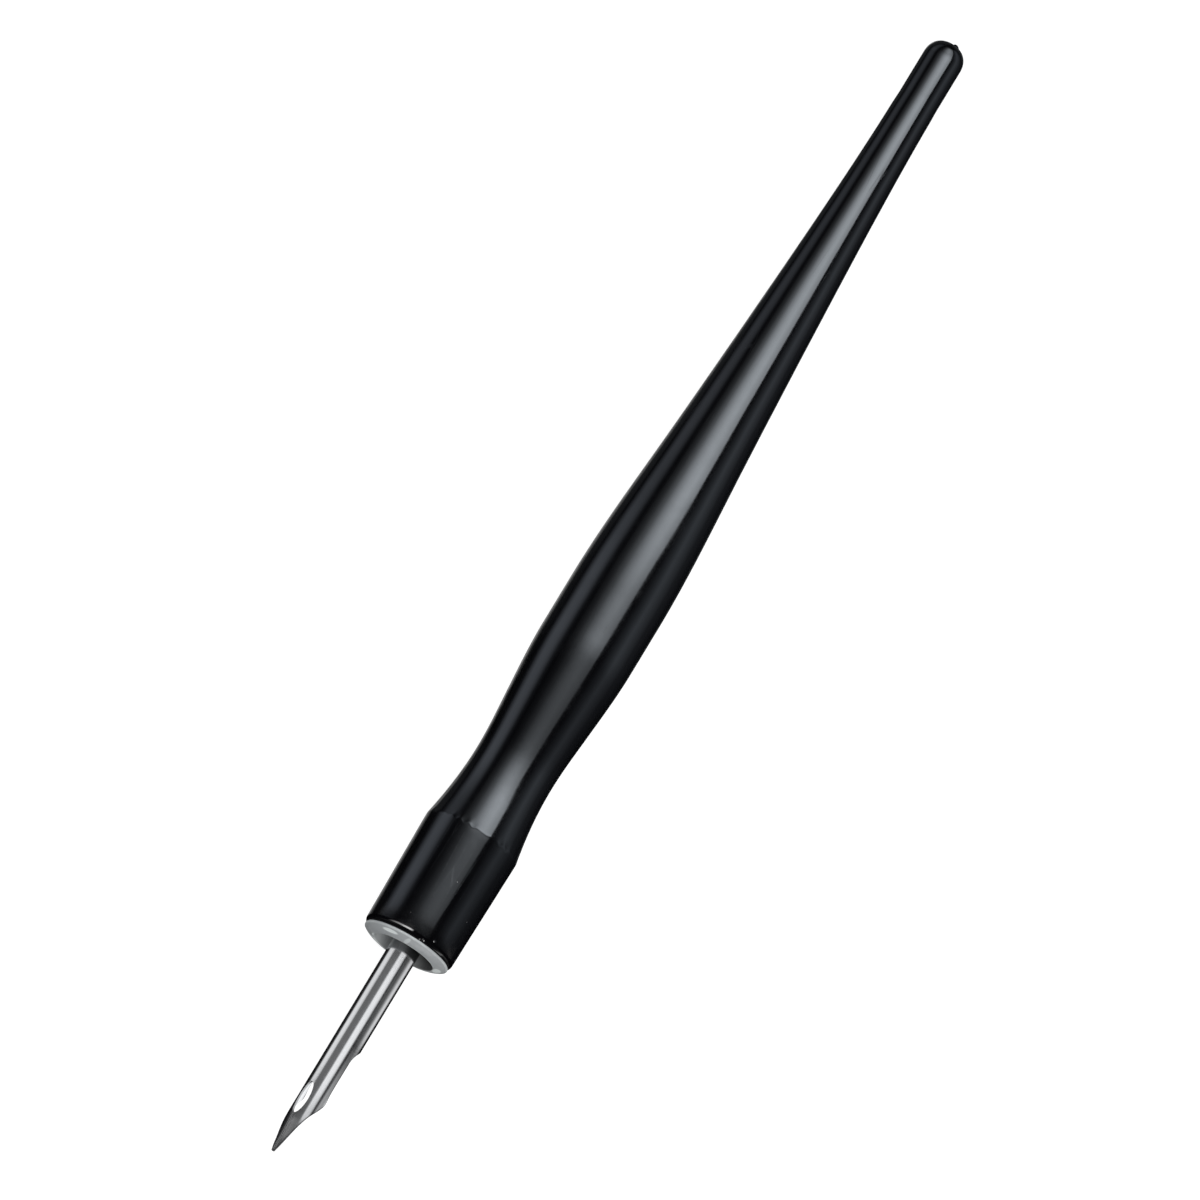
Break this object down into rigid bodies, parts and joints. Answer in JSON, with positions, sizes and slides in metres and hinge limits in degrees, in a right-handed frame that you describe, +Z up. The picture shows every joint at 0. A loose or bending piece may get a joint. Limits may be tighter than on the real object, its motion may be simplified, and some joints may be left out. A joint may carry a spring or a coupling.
{
  "type": "panel line pen",
  "caption": "Dip pen for inking fine panel lines: black moulded handle with a waisted grip and long taper, grey collar, sprung socket and a pull-out tubular steel mapping nib.",
  "frame": {"origin": "middle of the pen's length, straight below its axis, on the surface it lies on", "axes": "the pen's axis runs along X, 5.37 mm above Z = 0, with the nib's tip at -X and the tail at +X; +Z is up; the nib's vented back is turned 35 degrees from +Z towards +Y, as in the picture"},
  "size_m": [0.1398, 0.0108, 0.0107],
  "materials": {
    "handle_black": "glossy moulded plastic",
    "collar_grey": "satin moulded plastic",
    "socket_dark": "satin moulded plastic",
    "nib_steel": "polished, with a ground point"
  },
  "bodies": {
    "holder": {"handle": "handle_black", "collar": "collar_grey"},
    "socket": {"nib_socket": "socket_dark"},
    "nib": {"nib": "nib_steel"}
  },
  "joints": [
    {"name": "nib_turn", "type": "hinge", "parent": "holder", "child": "socket", "pos_m": [-0.0362, 0, 0.00537], "axis": [1, 0, 0], "continuous": true},
    {"name": "nib_pull", "type": "slide", "parent": "socket", "child": "nib", "axis": [-1, 0, 0], "range_m": [0, 0.012]}
  ]
}
